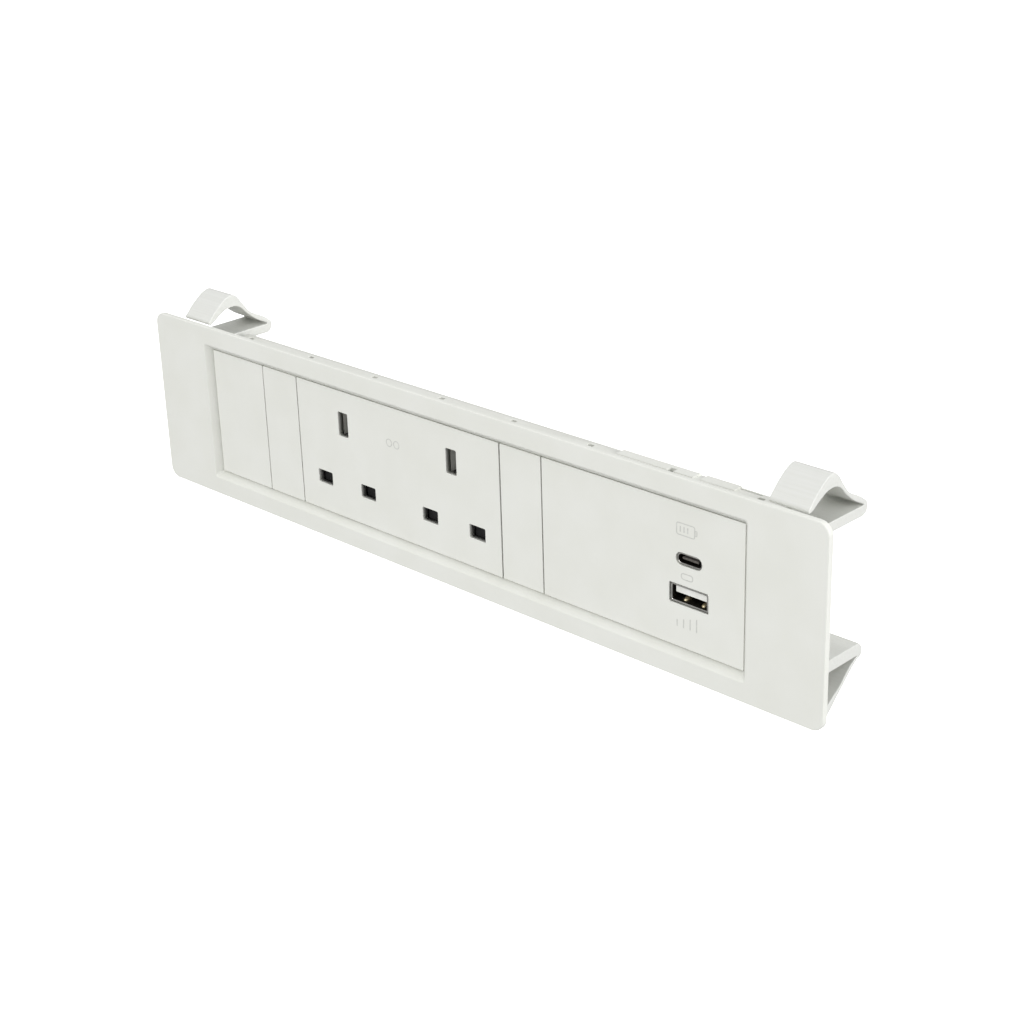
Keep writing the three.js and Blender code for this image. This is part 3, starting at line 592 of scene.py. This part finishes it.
def makeBackCover():
    s = coverShape
    hx, hz = s["half"]
    vents, r = s["vents"], s["screwHole"]
    holes = [{**s["inlet"], "rim": s["rim"]}]
    for i in range(vents["count"]):
        x = -vents["first"] - vents["pitch"] * i
        holes.append({"centre": (x, 0), "half": vents["half"], "corner": vents["corner"], "rim": s["rim"]})
    for place in s["screwPlaces"]:
        holes.append({"centre": place, "half": (r, r), "corner": r - s["screwFlat"], "rim": s["screwRim"]})
    bm = makePlate((-hx, -hz), (hx, hz), s["thickness"], s["edge"], holes)
    turned = Matrix.Translation((0, s["outside"] * mm, 0)) @ Matrix.Rotation(math.radians(180), 4, "Z")
    bmesh.ops.transform(bm, matrix=turned, verts=bm.verts)
    return bm


finishPiece(makeBackCover(), "back_cover_plate", "mouldedWhiteAbs", "unit", ["back_cover"],
            shaded=True)
print("back cover made")

# Plain moulded pieces keep the CAD shape, with their edges eased
easedPieces = {
    "rear_housing": ("mouldedWhiteAbs", "white_abs", 0.3),
    "inlet_body": ("filledBlackNylon", "black_nylon", 0.25),
}
for nodeName, (finish, slotName, rounding) in easedPieces.items():
    finishPiece(copyOfNode(nodeName), nodeName + "_eased", finish, "unit", [nodeName], rounding,
                mend=False)
print("eased pieces made")

# Clips: an extruded channel whose upper edge folds over into a humped arm, and a catch arm folded on below.
# Points are (Y, Z) in millimetres; a third value marks a sharp corner.
clipShape = {
    "middle": 134, "halfWidth": 7, "edge": 0.3, "edgeSteps": 2, "curveSteps": 8, "catchInset": 0.02,
    "channel": (
        (3.3, -23.7, 1), (30.0, -23.7, 1), (31.6, -24.3), (32.35, -22.9), (31.9, -21.0), (30.6, -19.7, 1),
        (6.3, -19.7, 1), (6.3, 21.5, 1), (29.8, 21.5, 1), (31.4, 22.3), (32.0, 23.9), (31.9, 25.3),
        (30.9, 26.35), (27.8, 28.5), (22.8, 31.3), (19.4, 35.2), (17.1, 38.3), (14.8, 39.75), (12.4, 39.3),
        (8.2, 36.7), (4.3, 33.0), (3.15, 31.55), (3.7, 30.85), (4.9, 31.1), (8.3, 33.2), (12.9, 35.1),
        (17.2, 34.6), (21.3, 30.9), (25.4, 27.7), (29.7, 25.35, 1),
        (30.1, 25.15, 1), (29.7, 24.9, 1), (3.3, 24.9, 1),
    ),
    "upperBend": (24.95, 26.3),
    "catch": (
        (13.0, -40.1, 1), (16.1, -37.8), (20.8, -33.2), (25.6, -28.6), (29.7, -25.2), (31.7, -24.2),
        (32.42, -22.9), (32.15, -21.6, 1), (30.9, -22.6, 1), (29.9, -23.85, 1), (28.4, -24.6), (25.9, -26.3),
        (21.6, -30.4), (17.3, -33.4), (13.4, -36.6, 1),
    ),
    "lowerBend": (-23.9, -25.0),
}


def extrudedProfile(points, middle, halfWidth):
    edge = clipShape["edge"]
    curve = bpy.data.curves.new("profile", "CURVE")
    curve.dimensions = "2D"
    curve.fill_mode = "BOTH"
    curve.extrude = (halfWidth - edge) * mm
    curve.bevel_depth = edge * mm
    curve.bevel_resolution = clipShape["edgeSteps"]
    curve.offset = -edge * mm
    spline = curve.splines.new("BEZIER")
    spline.bezier_points.add(len(points) - 1)
    spline.use_cyclic_u = True
    spline.resolution_u = clipShape["curveSteps"]
    for knot, point in zip(spline.bezier_points, points):
        knot.co = (point[0] * mm, point[1] * mm, 0)
        knot.handle_left_type = knot.handle_right_type = "VECTOR" if len(point) > 2 else "AUTO"
    holder = bpy.data.objects.new("profile", curve)
    bpy.context.collection.objects.link(holder)
    bpy.context.view_layer.update()
    bm = bmesh.new()
    bm.from_mesh(holder.to_mesh())
    bpy.data.objects.remove(holder)
    bpy.data.curves.remove(curve)
    # the profile's two axes become Y and Z, and its width runs along X
    stand = Matrix(((0, 0, 1, middle * mm), (1, 0, 0, 0), (0, 1, 0, 0), (0, 0, 0, 1)))
    bmesh.ops.transform(bm, matrix=stand, verts=bm.verts)
    return bm


for side, sign in (("left", -1), ("right", 1)):
    s = clipShape
    x = sign * s["middle"]
    bm = extrudedProfile(s["channel"], x, s["halfWidth"])
    channel = finishPiece(bm, "clip_channel_" + side, "extrudedPvc", None,
                          ["clip_frame_" + side, "hump_arm_" + side], shaded=True)
    low, high = s["upperBend"]
    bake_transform(channel)
    bm = extrudedProfile(s["catch"], x, s["halfWidth"] - s["catchInset"])
    catch = finishPiece(bm, "clip_catch_" + side, "extrudedPvc", None, ["catch_arm_" + side],
                        shaded=True)
    low, high = s["lowerBend"]
    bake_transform(catch)
print("clips made")

# Marks: thin grey printed outlines, each a plain generic sign
markShape = {"proud": 0.04, "sunk": 0.01, "hair": 0.001, "line": 0.32,
             # each outline: middle x, middle z, half width, half height, corner
             "outlines": (
                 (99.7, 15.3, 3.4, 1.9, 0.6), (103.6, 15.3, 0.35, 0.8, 0.25), (100.3, 0.2, 2.2, 0.95, 0.9),
                 (-28.6, 10.7, 1.3, 1.3, 1.25), (-25.0, 10.7, 1.3, 1.3, 1.25)),
             # each bar: low corner and high corner
             "bars": (
                 ((97.5, 14.4), (97.9, 16.2)), ((98.9, 14.4), (99.3, 16.2)), ((100.3, 14.4), (100.7, 16.2)),
                 ((96.4, -16.8), (96.8, -14.6)), ((98.9, -16.8), (99.3, -13.9)),
                 ((101.4, -16.8), (101.8, -13.2)), ((103.9, -16.8), (104.3, -12.5)))}
bm = bmesh.new()
t, proud, sunk, hair = markShape["line"] / 2, markShape["proud"], markShape["sunk"], markShape["hair"]
rows = [(t, sunk), (t, -proud), (-t, -proud - hair), (-t, sunk - hair)]
for x, z, halfX, halfZ, corner in markShape["outlines"]:
    loops = [roundedLoop(bm, (x, z), halfX + grow, halfZ + grow,
                         max(corner + grow, makingShape["leastCorner"]), y) for grow, y in rows]
    bridge(bm, loops + [loops[0]])
for (x0, z0), (x1, z1) in markShape["bars"]:
    addBlock(bm, (x0, -proud, z0), (x1, sunk, z1))
finishPiece(bm, "printed_marks", "greyInk", "unit", [])
print("marks made")

# Screws: pan heads with a hexagon socket, the head facing back
screwShape = {"head": 1.6, "shank": 1.4, "sides": 28, "hair": 0.01,
              # shares of the head's radius, and for the crown also of its height
              "socket": 0.52, "flat": 0.66, "crown": ((0.88, 0.14), (1, 0.5), (1, 1)), "hexagon": 0.94,
              "hexagonSides": 6, "leadIn": 0.12, "socketDepth": 1.0,
              "coverScrews": ["cover_screw_%d" % (i + 1) for i in range(4)],
              "clipScrews": ["clip_screw_%s_%s" % (end, level) for end in ("left", "right")
                             for level in ("lower", "upper")]}


def addRing(bm, centre, radius, sides, y, capped=False):
    made = bmesh.ops.create_circle(bm, cap_ends=capped, segments=sides, radius=radius * mm)["verts"]
    bmesh.ops.rotate(bm, verts=made, matrix=Matrix.Rotation(math.radians(90), 3, "X"))
    bmesh.ops.translate(bm, verts=made, vec=(centre[0] * mm, y * mm, centre[1] * mm))
    return list({e for v in made for e in v.link_edges})


def makeScrew(nodeName):
    s = screwShape
    low, high = [Vector(corner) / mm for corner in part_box(nodeName)]
    centre = ((low.x + high.x) / 2, (low.z + high.z) / 2)
    r, top, head = (high.x - low.x) / 2, high.y, s["head"]
    bm = bmesh.new()
    profile = [(s["socket"] * r, top), (s["flat"] * r, top - s["hair"])]
    profile += [(wide * r, top - deep * head) for wide, deep in s["crown"]]
    profile += [(s["shank"], top - head - s["hair"]), (s["shank"], low.y)]
    rings = [addRing(bm, centre, radius, s["sides"], y) for radius, y in profile]
    bridge(bm, rings)
    key = s["hexagon"] * s["socket"] * r
    lead = addRing(bm, centre, key, s["hexagonSides"], top - s["leadIn"])
    foot = addRing(bm, centre, key, s["hexagonSides"], top - s["socketDepth"], True)
    bridge(bm, [rings[0], lead, foot])
    bmesh.ops.holes_fill(bm, edges=rings[-1], sides=s["sides"])
    return bm


for nodeName in screwShape["coverScrews"] + screwShape["clipScrews"]:
    finishPiece(makeScrew(nodeName), nodeName + "_socket_head", "zincPlate", "unit", [nodeName])
print("screws made")

# Shutter springs: the CAD coils with a drawn steel finish; in the real socket the foot stays in the socket
# body and the top goes down with the shutter
for side in ("left", "right"):
    nodeName = "shutter_spring_" + side
    low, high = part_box(nodeName)
    x, y = (low[0] + high[0]) / 2, (low[1] + high[1]) / 2
    coil = finishPiece(copyOfNode(nodeName), nodeName + "_coil", "drawnSpringSteel", None, [nodeName],
                       mend=False)
    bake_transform(coil)
print("springs made")

# The rest of the CAD nodes keep their shape and take a real finish
nodeFinishes = {
    "mouldedUrea": ["socket_body", "contact_cover"],
    "filledBlackNylon": ["shutter_left", "shutter_right", "controller_chip"],
    "stampedBrass": ["live_bar", "neutral_bar", "earth_bar", "inlet_pin_live", "inlet_pin_neutral",
                     "inlet_pin_earth"],
    "zincPlate": ["socket_screw_lower", "socket_screw_upper", "board_screw_1", "board_screw_2"],
    "solderMask": ["usb_board"],
    "windingTape": ["transformer"],
    "capacitorSleeve": ["input_capacitor", "output_capacitor"],
    "enamelledCopper": ["choke"],
    "terminalPolyamide": ["terminal_block"],
    "brownPvc": ["wire_live", "feed_live"],
    "bluePvc": ["wire_neutral", "feed_neutral"],
    "greenPvc": ["wire_earth"],
}
for finish, names in nodeFinishes.items():
    for nodeName in names:
        node = bpy.data.objects[nodeName]
        if not node.material_slots:
            node.data.materials.append(materials[finish])
        for slotItem in node.material_slots:
            slotItem.material = materials[finish]
print("CAD nodes finished")
